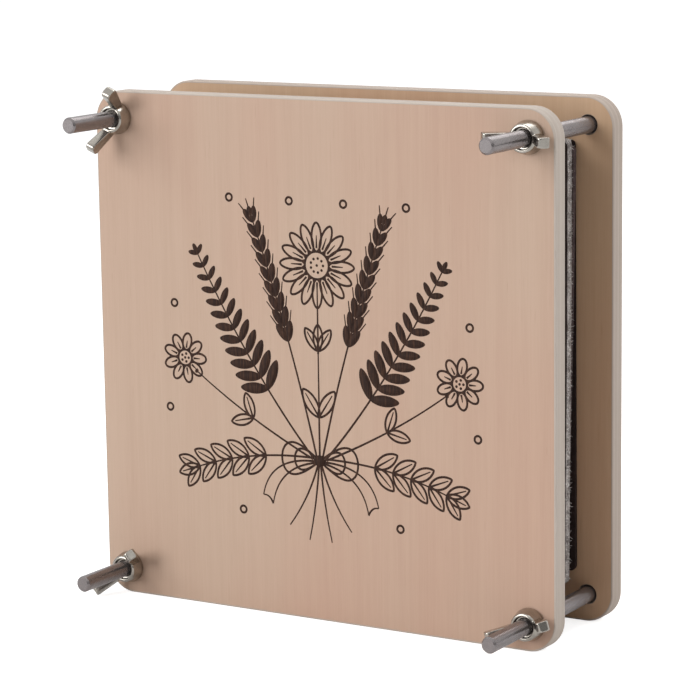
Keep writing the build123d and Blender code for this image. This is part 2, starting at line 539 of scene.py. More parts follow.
class Recipe:
    """A Geometry Nodes tree with named inputs, baked into plain meshes."""

    def __init__(self, name: str) -> None:
        """Makes a tree that takes and gives geometry."""
        self.tree = bpy.data.node_groups.new(name, "GeometryNodeTree")
        self.graph = Graph(self.tree)
        self.entry = self.tree.nodes.new("NodeGroupInput")
        self.exit = self.tree.nodes.new("NodeGroupOutput")
        self.identifiers: dict[str, str] = {}
        self.add_input("Geometry", "NodeSocketGeometry")
        self.tree.interface.new_socket("Geometry", in_out="OUTPUT", socket_type="NodeSocketGeometry")
        self.add_input("Finish", "NodeSocketMaterial")

    def add_input(self, name: str, kind: str) -> Socket:
        """Adds a named input and returns the socket that gives its value inside the tree."""
        socket = self.tree.interface.new_socket(name, in_out="INPUT", socket_type=kind)
        self.identifiers[name] = socket.identifier
        return self.entry.outputs[name]

    def size(self, name: str) -> Field:
        """Adds a named number."""
        return Field(self.graph, self.add_input(name, "NodeSocketFloat"))

    def count(self, name: str) -> Field:
        """Adds a named whole number."""
        return Field(self.graph, self.add_input(name, "NodeSocketInt"))

    def spot(self, name: str) -> Socket:
        """Adds a named place."""
        return self.add_input(name, "NodeSocketVector")

    def geometry(self, kind: str, inputs: Inputs | None = None, **settings: Any) -> Socket:
        """Adds a Geometry node and returns its first output."""
        return self.graph.node(f"GeometryNode{kind}", inputs, **settings).outputs[0]

    def places(self) -> Socket:
        """The place of each point."""
        return self.geometry("InputPosition")

    def moved(self, shape: Socket, way: Socket) -> Socket:
        """Moves a geometry as a whole."""
        return self.geometry("Transform", {"Geometry": shape, "Translation": way})

    def reshaped(self, shape: Socket, places: Socket) -> Socket:
        """Moves each point of a geometry to a place of its own."""
        return self.geometry("SetPosition", {"Geometry": shape, "Position": places})

    def shifted(self, shape: Socket, ways: Socket) -> Socket:
        """Moves each point of a geometry by a way of its own."""
        return self.geometry("SetPosition", {"Geometry": shape, "Offset": ways})

    def thickened(self, sheet: Socket, depth: Field, weld: float) -> Socket:
        """Makes a closed slab of an open sheet.

        Args:
            sheet: The sheet, which becomes one face of the slab.
            depth: How thick the slab is, along the sheet's own facing.
            weld: How near two points are that become one.

        Returns:
            The slab.
        """
        top = self.geometry("ExtrudeMesh", {"Mesh": sheet, "Offset Scale": depth, "Individual": False})
        closed = self.join(top, self.geometry("FlipFaces", {"Mesh": sheet}))
        return self.geometry("MergeByDistance", {"Geometry": closed, "Distance": weld})

    def join(self, *parts: Socket) -> Socket:
        """Joins several geometries."""
        node = self.graph.node("GeometryNodeJoinGeometry")
        for part in parts:
            self.tree.links.new(part, node.inputs[0])
        return node.outputs[0]

    def close(self, result: Socket) -> None:
        """Ends the tree: makes instances real, sets the finish and gives the result out."""
        real = self.geometry("RealizeInstances", {"Geometry": result})
        inputs = {"Geometry": real, "Material": self.entry.outputs["Finish"]}
        dressed = self.geometry("SetMaterial", inputs)
        self.tree.links.new(dressed, self.exit.inputs[0])

    def bake(self, source: bpy.types.ID, finish: Finish, values: dict[str, Any]) -> Mesh:
        """Runs the tree on a mesh or curve.

        Args:
            source: The mesh or curve that the tree starts from.
            finish: The finish of the result.
            values: The tree's named inputs.

        Returns:
            A plain mesh that no modifier holds.
        """
        holder = put("holder", source)
        modifier = holder.modifiers.new("recipe", "NODES")
        modifier.node_group = self.tree
        modifier[self.identifiers["Finish"]] = finish.material()
        for name, value in values.items():
            modifier[self.identifiers[name]] = value
        return baked(holder)


def loft(shell: Shell, rings: Sequence[Ring], material_index: int = 0) -> None:
    """Joins closed rings of equal length with smooth quads.

    Args:
        shell: The mesh that holds the rings.
        rings: The rings in order.
        material_index: The material of the new faces.
    """
    for first, second in zip(rings, rings[1:]):
        for index, vertex in enumerate(first):
            after = (index + 1) % len(first)
            face = shell.faces.new((vertex, first[after], second[after], second[index]))
            face.smooth = True
            face.material_index = material_index


def ring_edges(shell: Shell, ring: Ring) -> list[bmesh.types.BMEdge]:
    """The edges of a closed ring."""
    return [shell.edges.get((ring[index - 1], vertex)) for index, vertex in enumerate(ring)]


def to_mesh(shell: Shell, name: str) -> Mesh:
    """Turns every face outwards and gives the shell as a mesh, which frees the shell."""
    bmesh.ops.recalc_face_normals(shell, faces=shell.faces)
    mesh = bpy.data.meshes.new(name)
    shell.to_mesh(mesh)
    shell.free()
    return mesh


def show(name: str, mesh: Mesh, body: str, slot: Slot | None, *nodes: str) -> Piece:
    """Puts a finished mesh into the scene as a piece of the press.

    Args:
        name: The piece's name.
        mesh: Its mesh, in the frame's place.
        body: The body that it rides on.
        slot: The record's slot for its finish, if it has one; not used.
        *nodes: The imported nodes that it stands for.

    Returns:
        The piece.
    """
    piece = put(name, mesh)
    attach(piece, body)
    if nodes:
        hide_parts(*nodes)
    LOG.info("%s: %d faces, rides on %s", name, len(mesh.polygons), body)
    return piece


def facing_front(place: Vector, turn: float = 0.0) -> Matrix:
    """Sets a shape that was built up +Z so that it points to the front.

    Args:
        place: Where its base goes.
        turn: How far it is turned about its axis, in radians.

    Returns:
        The matrix that places it.
    """
    return Matrix.Translation(place) @ Matrix.Rotation(math.pi / 2, 4, "X") @ Matrix.Rotation(turn, 4, "Z")


def round_corner_square(half: float, radius: float, steps: int) -> list[Spot]:
    """Points round a square with round corners, in order.

    Args:
        half: Half of the square's side.
        radius: The corners' radius.
        steps: Steps in each corner.

    Returns:
        The points, as pairs.
    """
    points = []
    for quarter in range(4):
        middle = math.radians(45 + 90 * quarter)
        centre_x = math.copysign(half - radius, math.cos(middle))
        centre_z = math.copysign(half - radius, math.sin(middle))
        for step in range(steps + 1):
            angle = math.radians(90 * (quarter + step / steps))
            points.append((centre_x + radius * math.cos(angle), centre_z + radius * math.sin(angle)))
    return points


def section(reach: float, steps: int, square: bool = False) -> list[Spot]:
    """Points round a circle or a square at even angles, in order.

    Args:
        reach: The circle's radius, or half of the square's width.
        steps: How many points there are.
        square: Whether it is a square.

    Returns:
        The points, as pairs.
    """
    points = []
    for step in range(steps):
        angle = 2 * math.pi * step / steps
        cosine, sine = math.cos(angle), math.sin(angle)
        out = reach / max(abs(cosine), abs(sine)) if square else reach
        points.append((out * cosine, out * sine))
    return points


@dataclass
class Board:
    """A plywood board with eased rims, plies that show at its edge and a hole for each bolt."""

    node: str
    body: str
    face: VeneerFinish
    corner_radius: float = 9.2 * MM
    rim_round: float = 0.6 * MM
    rim_steps: int = 5
    corner_steps: int = 22
    hole_radius: float = 3 * MM
    hole_ease: float = 0.12 * MM
    hole_steps: int = 48
    socket_width: float = 0.0
    socket_depth: float = 0.0
    ply_count: int = PLY_COUNT
    glue_sink: float = 0.02 * MM
    glue_width: float = 0.1 * MM

    def wall_profile(self, front: float, back: float) -> list[Spot]:
        """The board's edge from its front face to its back face.

        Args:
            front: Where the front face is, along Y.
            back: Where the back face is, along Y.

        Returns:
            Pairs of how far the edge is set in, and where that is along Y.
        """
        turns = [math.pi / 2 * step / self.rim_steps for step in range(self.rim_steps + 1)]
        ease = self.rim_round
        rim = [(ease * (1 - math.sin(turn)), ease * (1 - math.cos(turn))) for turn in turns]
        profile = [(inset, front + depth) for inset, depth in rim]
        for ply in range(1, self.ply_count):
            line = front + (back - front) * ply / self.ply_count
            profile += [(0.0, line - self.glue_width), (self.glue_sink, line), (0.0, line + self.glue_width)]
        return profile + [(inset, back - depth) for inset, depth in reversed(rim)]

    def hole_profile(self, front: float, back: float) -> list[tuple[float, bool, float]]:
        """A hole's wall from the front face to the back face, with a square socket at the back if it has one.

        Args:
            front: Where the front face is, along Y.
            back: Where the back face is, along Y.

        Returns:
            Reach from the hole's axis, whether it is a square's, and place along Y.
        """
        eased = self.hole_radius + self.hole_ease
        profile = [(eased, False, front), (self.hole_radius, False, front + self.hole_ease)]
        if self.socket_width:
            step = back - self.socket_depth
            half = self.socket_width / 2
            return profile + [(self.hole_radius, False, step), (half, True, step), (half, True, back)]
        return profile + [(self.hole_radius, False, back - self.hole_ease), (eased, False, back)]

    def hole(self, shell: Shell, axis: Vector, front: float, back: float) -> list[Ring]:
        """Adds the rings of a hole's wall.

        Args:
            shell: The mesh that takes the rings.
            axis: A point of the hole's axis.
            front: Where the front face is, along Y.
            back: Where the back face is, along Y.

        Returns:
            The rings, from the front.
        """
        rings = []
        for reach, square, y in self.hole_profile(front, back):
            points = section(reach, self.hole_steps, square)
            rings.append([shell.verts.new((axis.x + x, y, axis.z + z)) for x, z in points])
        return rings

    def build(self) -> Mesh:
        """Makes the board's mesh, with its faces, edge and holes, and writes the depth of each point."""
        low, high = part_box(self.node)
        middle = middle_of(self.node)
        half = (high.x - low.x) / 2
        shell = bmesh.new()
        rings = []
        for inset, y in self.wall_profile(low.y, high.y):
            outline = round_corner_square(half - inset, self.corner_radius - inset, self.corner_steps)
            rings.append([shell.verts.new((middle.x + x, y, middle.z + z)) for x, z in outline])
        loft(shell, rings, material_index=1)
        front_edges = ring_edges(shell, rings[0])
        back_edges = ring_edges(shell, rings[-1])
        for corner in Corner:
            hole = self.hole(shell, corner.axis(), low.y, high.y)
            loft(shell, hole, material_index=1)
            front_edges += ring_edges(shell, hole[0])
            back_edges += ring_edges(shell, hole[-1])
        for edges in (front_edges, back_edges):
            bmesh.ops.triangle_fill(shell, use_beauty=True, use_dissolve=False, edges=edges)
        mesh = to_mesh(shell, self.node)
        mesh.set_sharp_from_angle(angle=SHARP_ANGLE)
        depths = [(vertex.co.y - low.y) / (high.y - low.y) for vertex in mesh.vertices]
        mesh.attributes.new(DEPTH_ATTRIBUTE, "FLOAT", "POINT").data.foreach_set("value", depths)
        return mesh

    def place(self) -> Piece:
        """Builds and dresses the board."""
        mesh = self.build()
        mesh.materials.append(self.face.material())
        mesh.materials.append(PLY_EDGE.material())
        return show(f"{self.node}_plywood", mesh, self.body, Slot.PLYWOOD, self.node)


class InkRecipe(Recipe):
    """Ink lines of one width, drawn on the XY plane in millimetres."""

    LINE_STEPS = 8
    OUTLINE_STEPS = 30
    STEM_STEPS = 24
    WELD = 0.001

    def __init__(self, name: str) -> None:
        """Adds the input that every drawing has."""
        super().__init__(name)
        self.stroke = self.size("Stroke")

    def ring(self, radius: Any, steps: int = OUTLINE_STEPS) -> Socket:
        """A circle round the origin."""
        return self.geometry("CurvePrimitiveCircle", {"Resolution": steps, "Radius": radius})

    def lines(self, curves: Socket, taper: float = 0.0) -> Socket:
        """Draws curves as round strokes.

        Args:
            curves: The curves to draw.
            taper: How much of its width a stroke loses from its start to its end.

        Returns:
            The strokes' mesh.
        """
        along = self.graph.field("GeometryNodeSplineParameter", "Factor")
        return self.geometry("CurveToMesh", {
            "Curve": curves,
            "Profile Curve": self.ring(self.stroke / 2.0, self.LINE_STEPS),
            "Scale": 1.0 - along * taper,
            "Fill Caps": True,
        })

    def filled(self, outlines: Socket) -> Socket:
        """Fills closed outlines with a layer of ink as thick as a stroke."""
        return self.thickened(self.geometry("FillCurve", {"Curve": outlines}), self.stroke / 2.0, self.WELD)

    def stem(self) -> Socket:
        """Adds the inputs of a line that bends once, and the line."""
        ends = {"Start": self.spot("Root"), "Middle": self.spot("Bend"), "End": self.spot("Tip")}
        return self.geometry("CurveQuadraticBezier", ends | {"Resolution": self.STEM_STEPS})

    def leaf(self, width: Field, point: Field) -> Socket:
        """A leaf's outline along +X, one unit long.

        Args:
            width: Its width as a share of its length.
            point: How pointed its ends are, from 0 for an oval.

        Returns:
            The outline.
        """
        graph = self.graph
        x, y, _ = graph.axes(self.places())
        narrowed = y * y.step("ABSOLUTE").step("POWER", point) * width / 2.0
        return self.reshaped(self.ring(1.0), graph.vector((x + 1.0) / 2.0, narrowed, 0.0))

    def at_points(
        self, shape: Socket, points: Socket, heading: Field, length: Field, chosen: Any = True
    ) -> Socket:
        """Sets copies of a curve on points.

        Args:
            shape: The curve, one unit long.
            points: The points.
            heading: The angle that each copy points to.
            length: The length of each copy.
            chosen: Which points take a copy.

        Returns:
            The copies, as curves of their own.
        """
        copies = self.geometry("InstanceOnPoints", {
            "Points": points,
            "Selection": chosen,
            "Instance": shape,
            "Rotation": self.graph.vector(0.0, 0.0, heading),
            "Scale": length,
        })
        return self.geometry("RealizeInstances", {"Geometry": copies})


class SprigRecipe(InkRecipe):
    """A bent stem with pairs of leaves and one leaf at its tip."""

    STEM_TAPER = 0.35
    RIB_TAPER = 0.5

    def __init__(self) -> None:
        """Builds the tree from its inputs alone."""
        super().__init__("Leafy sprig")
        graph = self.graph
        stem = self.stem()
        leaves, first = self.count("Leaves"), self.size("First")
        long, short = self.size("Leaf Length"), self.size("Tip Length")
        spread, reach = self.size("Spread"), self.size("Rib")
        outline = self.leaf(self.size("Leaf Width"), self.size("Point"))
        solid = self.add_input("Filled", "NodeSocketBool")
        leafy = self.geometry("TrimCurve", {"Curve": stem, "Start": first, "End": 1.0}, mode="FACTOR")
        division = {"Curve": leafy, "Count": leaves}
        spots = graph.node("GeometryNodeCurveToPoints", division, mode="COUNT").outputs
        x, y, _ = graph.axes(spots["Tangent"])
        heading = y.step("ARCTAN2", x)
        order = graph.field("GeometryNodeInputIndex", 0)
        share = order / (leaves - 1.0).step("MAXIMUM", 1.0)
        length = long + (short - long) * share
        last = order.step("GREATER_THAN", leaves - 1.5)
        rib = self.geometry("CurvePrimitiveLine", {"Start": (0.0, 0.0, 0.0), "End": graph.vector(reach)})
        sides = ((spread, True), (spread * -1.0, True), (spread * 0.0, last))
        shapes = []
        for shape in (outline, rib):
            turned = [self.at_points(shape, spots[0], heading + side, length, pick) for side, pick in sides]
            shapes.append(self.join(*turned))
        outlines, ribs = shapes
        stalk, veins = self.lines(stem, self.STEM_TAPER), self.lines(ribs, self.RIB_TAPER)
        drawn = self.join(stalk, self.lines(outlines), veins)
        choice = {"Switch": solid, "False": drawn, "True": self.join(drawn, self.filled(outlines))}
        self.close(self.geometry("Switch", choice, input_type="GEOMETRY"))


class BlossomRecipe(InkRecipe):
    """A round flower: petals with a short line in each, a heart and a ring of dots in it."""

    VEIN_START = (0.12, 0.0, 0.0)
    VEIN_END = (0.56, 0.0, 0.0)
    VEIN_TAPER = 0.6
    DOT_RING = 0.52
    DOT_SIZE = 0.62

    def __init__(self) -> None:
        """Builds the tree from its inputs alone."""
        super().__init__("Blossom")
        graph = self.graph
        centre, radius, heart = self.spot("Centre"), self.size("Radius"), self.size("Heart")
        petals, dots = self.count("Petals"), self.count("Dots")
        outline = self.leaf(self.size("Petal Width"), self.size("Point"))
        spots = self.round_spots(heart, petals)
        x, y, _ = graph.axes(self.places())
        heading = y.step("ARCTAN2", x)
        line = self.geometry("CurvePrimitiveLine", {"Start": self.VEIN_START, "End": self.VEIN_END})
        petal, vein = (self.at_points(shape, spots, heading, radius - heart) for shape in (outline, line))
        ball = {"Segments": 10, "Rings": 6, "Radius": self.stroke * self.DOT_SIZE}
        dot = self.geometry("MeshUVSphere", ball)
        dotted = {"Points": self.round_spots(heart * self.DOT_RING, dots), "Instance": dot}
        flower = self.join(
            self.lines(petal),
            self.lines(vein, self.VEIN_TAPER),
            self.lines(self.ring(heart)),
            self.geometry("InstanceOnPoints", dotted),
            dot,
        )
        self.close(self.moved(flower, centre))

    def round_spots(self, radius: Field, count: Field) -> Socket:
        """Points at even angles on a circle round the origin."""
        return self.geometry("CurveToPoints", {"Curve": self.ring(radius), "Count": count}, mode="COUNT")


class BowRecipe(InkRecipe):
    """A tied bow: two nested pairs of loops and a solid knot."""

    LOOP_STEPS = 72
    LOOP_SHARES = (1.0, 0.66)
    KNOT_STROKES = 2.6

    def __init__(self) -> None:
        """Builds the tree from its inputs alone."""
        super().__init__("Bow")
        centre, width, height = self.spot("Centre"), self.size("Width"), self.size("Height")
        loops = [self.loops(width * share, height * share) for share in self.LOOP_SHARES]
        knot = self.filled(self.ring(self.stroke * self.KNOT_STROKES))
        tied = self.join(self.lines(self.join(*loops)), knot)
        self.close(self.moved(tied, centre))

    def loops(self, width: Field, height: Field) -> Socket:
        """A lying eight of the given size."""
        x, y, _ = self.graph.axes(self.places())
        place = self.graph.vector(x * width / 2.0, x * y * height, 0.0)
        return self.reshaped(self.ring(1.0, self.LOOP_STEPS), place)


class TailRecipe(InkRecipe):
    """A single bent line that thins out."""

    TAPER = 0.4

    def __init__(self) -> None:
        """Builds the tree from its inputs alone."""
        super().__init__("Tail")
        self.close(self.lines(self.stem(), self.TAPER))


class BerryRecipe(InkRecipe):
    """A small open ring."""

    def __init__(self) -> None:
        """Builds the tree from its inputs alone."""
        super().__init__("Berry")
        centre = self.spot("Centre")
        self.close(self.moved(self.lines(self.ring(self.size("Radius"))), centre))


@dataclass(frozen=True)
class Drawn:
    """A part of the drawing, whose fields are its recipe's inputs, in millimetres from the board's middle."""

    def values(self, side: int) -> dict[str, Any]:
        """The recipe's inputs, mirrored to the left where side is -1."""
        values = {item.name.replace("_", " ").title(): getattr(self, item.name) for item in fields(self)}
        for name, value in values.items():
            if isinstance(value, tuple):
                values[name] = (value[0] * side, value[1], 0.0)
        return values


@dataclass(frozen=True)
class Stem(Drawn):
    """A stem that bends once."""

    root: Spot
    bend: Spot
    tip: Spot


@dataclass(frozen=True)
class Sprig(Stem):
    """A stem with leaves, whose shapes are shares of a leaf's length and whose spread is in degrees."""

    leaves: int
    first: float
    leaf_length: float
    tip_length: float
    leaf_width: float
    point: float
    spread: float
    rib: float
    style: LeafStyle

    def values(self, side: int) -> dict[str, Any]:
        """The recipe's inputs, mirrored to the left where side is -1."""
        values = super().values(side)
        filled = values.pop("Style") is LeafStyle.FILLED
        return values | {"Spread": math.radians(self.spread), "Filled": filled}


@dataclass(frozen=True)
class Blossom(Drawn):
    """A flower with its petals and the dots in its heart."""

    centre: Spot
    radius: float
    heart: float
    petals: int
    petal_width: float
    point: float
    dots: int


@dataclass(frozen=True)
class Bow(Drawn):
    """A bow's place and size."""

    centre: Spot
    width: float
    height: float


@dataclass(frozen=True)
class Berry(Drawn):
    """A berry's place and size."""

    centre: Spot
    radius: float = 1.1


@dataclass
class Bouquet:
    """The print on the front board: a mirrored fan of sprigs and flowers that is tied with a bow."""

    stroke: float = 0.72
    flatness: float = 0.08
    rise: float = 3.0
    bow: Bow = Bow((0.0, -33.0), 27.0, 10.0)
    middle_sprig: Sprig = Sprig(
        (0.0, -33.0), (0.0, -12.0), (0.0, 1.0), leaves=2, first=0.4, leaf_length=10.0, tip_length=8.0,
        leaf_width=0.4, point=0.5, spread=34.0, rib=0.85, style=LeafStyle.OUTLINE,
    )
    middle_stem: Stem = Stem((0.0, 0.0), (0.0, 8.0), (0.0, 22.0))
    middle_flower: Blossom = Blossom(
        (0.0, 27.0), radius=13.0, heart=4.2, petals=16, petal_width=0.38, point=0.15, dots=9
    )
    sprigs: tuple[Sprig, ...] = (
        Sprig(
            (0.8, -33.0), (9.0, 2.0), (22.5, 39.0), leaves=9, first=0.5, leaf_length=6.0, tip_length=4.6,
            leaf_width=0.36, point=0.35, spread=24.0, rib=1.6, style=LeafStyle.FILLED,
        ),
        Sprig(
            (1.6, -33.0), (24.0, -8.0), (43.0, 28.0), leaves=12, first=0.36, leaf_length=9.5, tip_length=3.0,
            leaf_width=0.3, point=0.5, spread=56.0, rib=0.9, style=LeafStyle.FILLED,
        ),
        Sprig(
            (2.4, -32.6), (26.0, -22.0), (44.0, -9.0), leaves=2, first=0.5, leaf_length=8.0, tip_length=0.6,
            leaf_width=0.42, point=0.5, spread=42.0, rib=0.85, style=LeafStyle.OUTLINE,
        ),
        Sprig(
            (2.6, -32.2), (25.0, -32.0), (44.0, -39.0), leaves=5, first=0.4, leaf_length=9.0, tip_length=8.0,
            leaf_width=0.44, point=0.6, spread=38.0, rib=0.85, style=LeafStyle.OUTLINE,
        ),
    )
    flowers: tuple[Blossom, ...] = (
        Blossom((48.5, -5.0), radius=7.8, heart=2.5, petals=9, petal_width=0.6, point=0.0, dots=5),
    )
    tails: tuple[Stem, ...] = (
        Stem((0.6, -34.0), (4.0, -45.0), (11.0, -54.0)),
        Stem((0.3, -34.0), (1.2, -46.0), (4.0, -58.0)),
        Stem((1.2, -33.6), (15.0, -36.0), (17.0, -48.0)),
        Stem((1.2, -33.2), (18.0, -33.0), (20.5, -45.5)),
        Stem((17.0, -48.0), (18.2, -45.2), (20.5, -45.5)),
    )
    berries: tuple[Berry, ...] = (
        Berry((31.0, 46.0)),
        Berry((52.0, 12.0)),
        Berry((54.5, -21.0)),
        Berry((28.0, -51.0)),
        Berry((9.5, 46.0)),
    )

    def strokes(self) -> list[Mesh]:
        """Draws every part of the bouquet."""
        sprig, blossom, tail, berry = SprigRecipe(), BlossomRecipe(), TailRecipe(), BerryRecipe()
        drawn: list[tuple[InkRecipe, dict[str, Any]]] = [
            (sprig, self.middle_sprig.values(1)),
            (tail, self.middle_stem.values(1)),
            (blossom, self.middle_flower.values(1)),
            (BowRecipe(), self.bow.values(1)),
        ]
        fan = ((sprig, self.sprigs), (blossom, self.flowers), (tail, self.tails), (berry, self.berries))
        for side in (1, -1):
            drawn += [(recipe, item.values(side)) for recipe, items in fan for item in items]
        blank = bpy.data.meshes.new("blank")
        return [recipe.bake(blank, INK, values | {"Stroke": self.stroke}) for recipe, values in drawn]

    def place(self) -> Piece:
        """Draws the bouquet and lays it on the front board."""
        shell = bmesh.new()
        for mesh in self.strokes():
            shell.from_mesh(mesh)
            bpy.data.meshes.remove(mesh)
        for face in shell.faces:
            face.smooth = True
        middle = front_of("front_board") + Vector((0.0, 0.0, self.rise * MM))
        flat = Matrix.Diagonal((MM, MM, MM * self.flatness, 1.0))
        shell.transform(facing_front(middle) @ flat)
        mesh = bpy.data.meshes.new("front_board_print")
        shell.to_mesh(mesh)
        shell.free()
        mesh.materials.append(INK.material())
        return show("front_board_print", mesh, "front_board", None)


class ThreadRecipe(Recipe):
    """A screw thread that goes on from a bolt's neck along +Z and ends in a chamfered tip."""

    STEPS_PER_TURN = 8
    AROUND = 48
    FLANK = (0.25, 0.375)
    WELD = 0.002 * MM

    def __init__(self) -> None:
        """Builds the tree: a sheet of helical rows, rolled up and closed to the neck and the tip."""
        super().__init__("Screw thread")
        graph = self.graph
        start, length, radius = self.size("Start"), self.size("Length"), self.size("Radius")
        pitch, depth, chamfer = self.size("Pitch"), self.size("Depth"), self.size("Chamfer")
        run = length - start
        turns = (run / pitch).step("CEIL") + 1.0
        rows = turns * float(self.STEPS_PER_TURN) + 1.0
        cells = {"Vertices X": self.AROUND + 1, "Vertices Y": rows}
        grid = self.geometry("MeshGrid", {"Size X": 1.0, "Size Y": 1.0} | cells)
        across, along, _ = graph.axes(self.places())
        share = across + 0.5
        turn = (along + 0.5) * turns
        height = ((turn + share - 1.0) * pitch).step("MAXIMUM", 0.0).step("MINIMUM", run)
        from_crest = (turn - 0.25).step("PINGPONG", 0.5)
        ridge = radius - depth * graph.spread(from_crest, *self.FLANK)
        necked = ridge.step("MINIMUM", radius - depth + height)
        reach = necked.step("MINIMUM", radius - chamfer + run - height)
        angle = share * (2 * math.pi)
        place = graph.vector(reach * angle.step("COSINE"), reach * angle.step("SINE"), height + start)
        rolled = self.reshaped(grid, place)
        end = {"Vertices": self.AROUND, "Radius": radius - chamfer}
        tip = self.moved(self.geometry("MeshCircle", end, fill_type="NGON"), graph.vector(z=length))
        whole = self.join(self.entry.outputs["Geometry"], rolled, tip)
        self.close(self.geometry("MergeByDistance", {"Geometry": whole, "Distance": self.WELD}))


@dataclass
class CarriageBolt:
    """A threaded bolt with a domed head and a square neck, made with its seat at the origin."""

    corner: Corner
    recipe: ThreadRecipe
    radius: float = 2.5 * MM
    pitch: float = 0.8 * MM
    thread_depth: float = 0.07 * MM
    tip_chamfer: float = 0.6 * MM
    head_radius: float = 6.6 * MM
    head_height: float = 3 * MM
    head_rim: float = 0.7 * MM
    head_steps: int = 9
    rim_ease: float = 0.2 * MM
    neck_width: float = 5.2 * MM
    neck_length: float = 3.6 * MM

    def ring(self, shell: Shell, reach: float, z: float, square: bool = False) -> Ring:
        """Adds a ring of the bolt.

        Args:
            shell: The mesh that takes the ring.
            reach: Its radius, or half of its width if it is square.
            z: Its height above the seat.
            square: Whether it is square.

        Returns:
            The ring's vertices.
        """
        return [shell.verts.new((x, y, z)) for x, y in section(reach, ThreadRecipe.AROUND, square)]

    def head(self) -> Mesh:
        """The head and neck, open where the thread starts."""
        shell = bmesh.new()
        crown = self.head_height - self.head_rim
        dome = (self.head_radius**2 + crown**2) / (2 * crown)
        sweep = math.asin(self.head_radius / dome)
        rings = []
        for step in range(1, self.head_steps + 1):
            angle = sweep * step / self.head_steps
            rise = dome * (1 - math.cos(angle))
            rings.append(self.ring(shell, dome * math.sin(angle), rise - self.head_height))
        rings.append(self.ring(shell, self.head_radius, -self.rim_ease))
        rings.append(self.ring(shell, self.head_radius - self.rim_ease, 0.0))
        rings.append(self.ring(shell, self.neck_width / 2, 0.0, square=True))
        rings.append(self.ring(shell, self.neck_width / 2, self.neck_length, square=True))
        rings.append(self.ring(shell, self.radius - self.thread_depth, self.neck_length))
        loft(shell, rings)
        pole = shell.verts.new((0.0, 0.0, -self.head_height))
        for index, vertex in enumerate(rings[0]):
            shell.faces.new((pole, vertex, rings[0][index - 1])).smooth = True
        return to_mesh(shell, "bolt_head")

    def build(self) -> Mesh:
        """Makes the whole bolt, standing in its place."""
        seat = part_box("back_board")[1].y
        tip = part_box(self.corner.bolt)[0].y
        values = {
            "Start": self.neck_length,
            "Length": seat - tip,
            "Radius": self.radius,
            "Pitch": self.pitch,
            "Depth": self.thread_depth,
            "Chamfer": self.tip_chamfer,
        }
        mesh = self.recipe.bake(self.head(), STEEL, values)
        shell = bmesh.new()
        shell.from_mesh(mesh)
        for face in shell.faces:
            face.smooth = True
        bmesh.ops.recalc_face_normals(shell, faces=shell.faces)
        shell.to_mesh(mesh)
        shell.free()
        axis = self.corner.axis()
        mesh.transform(facing_front(Vector((axis.x, seat, axis.z))))
        mesh.set_sharp_from_angle(angle=SHARP_ANGLE)
        return mesh

    def place(self) -> Piece:
        """Builds and dresses the bolt."""
        node = self.corner.bolt
        return show(f"{node}_threaded", self.build(), "base", Slot.BOLT_STEEL, node)


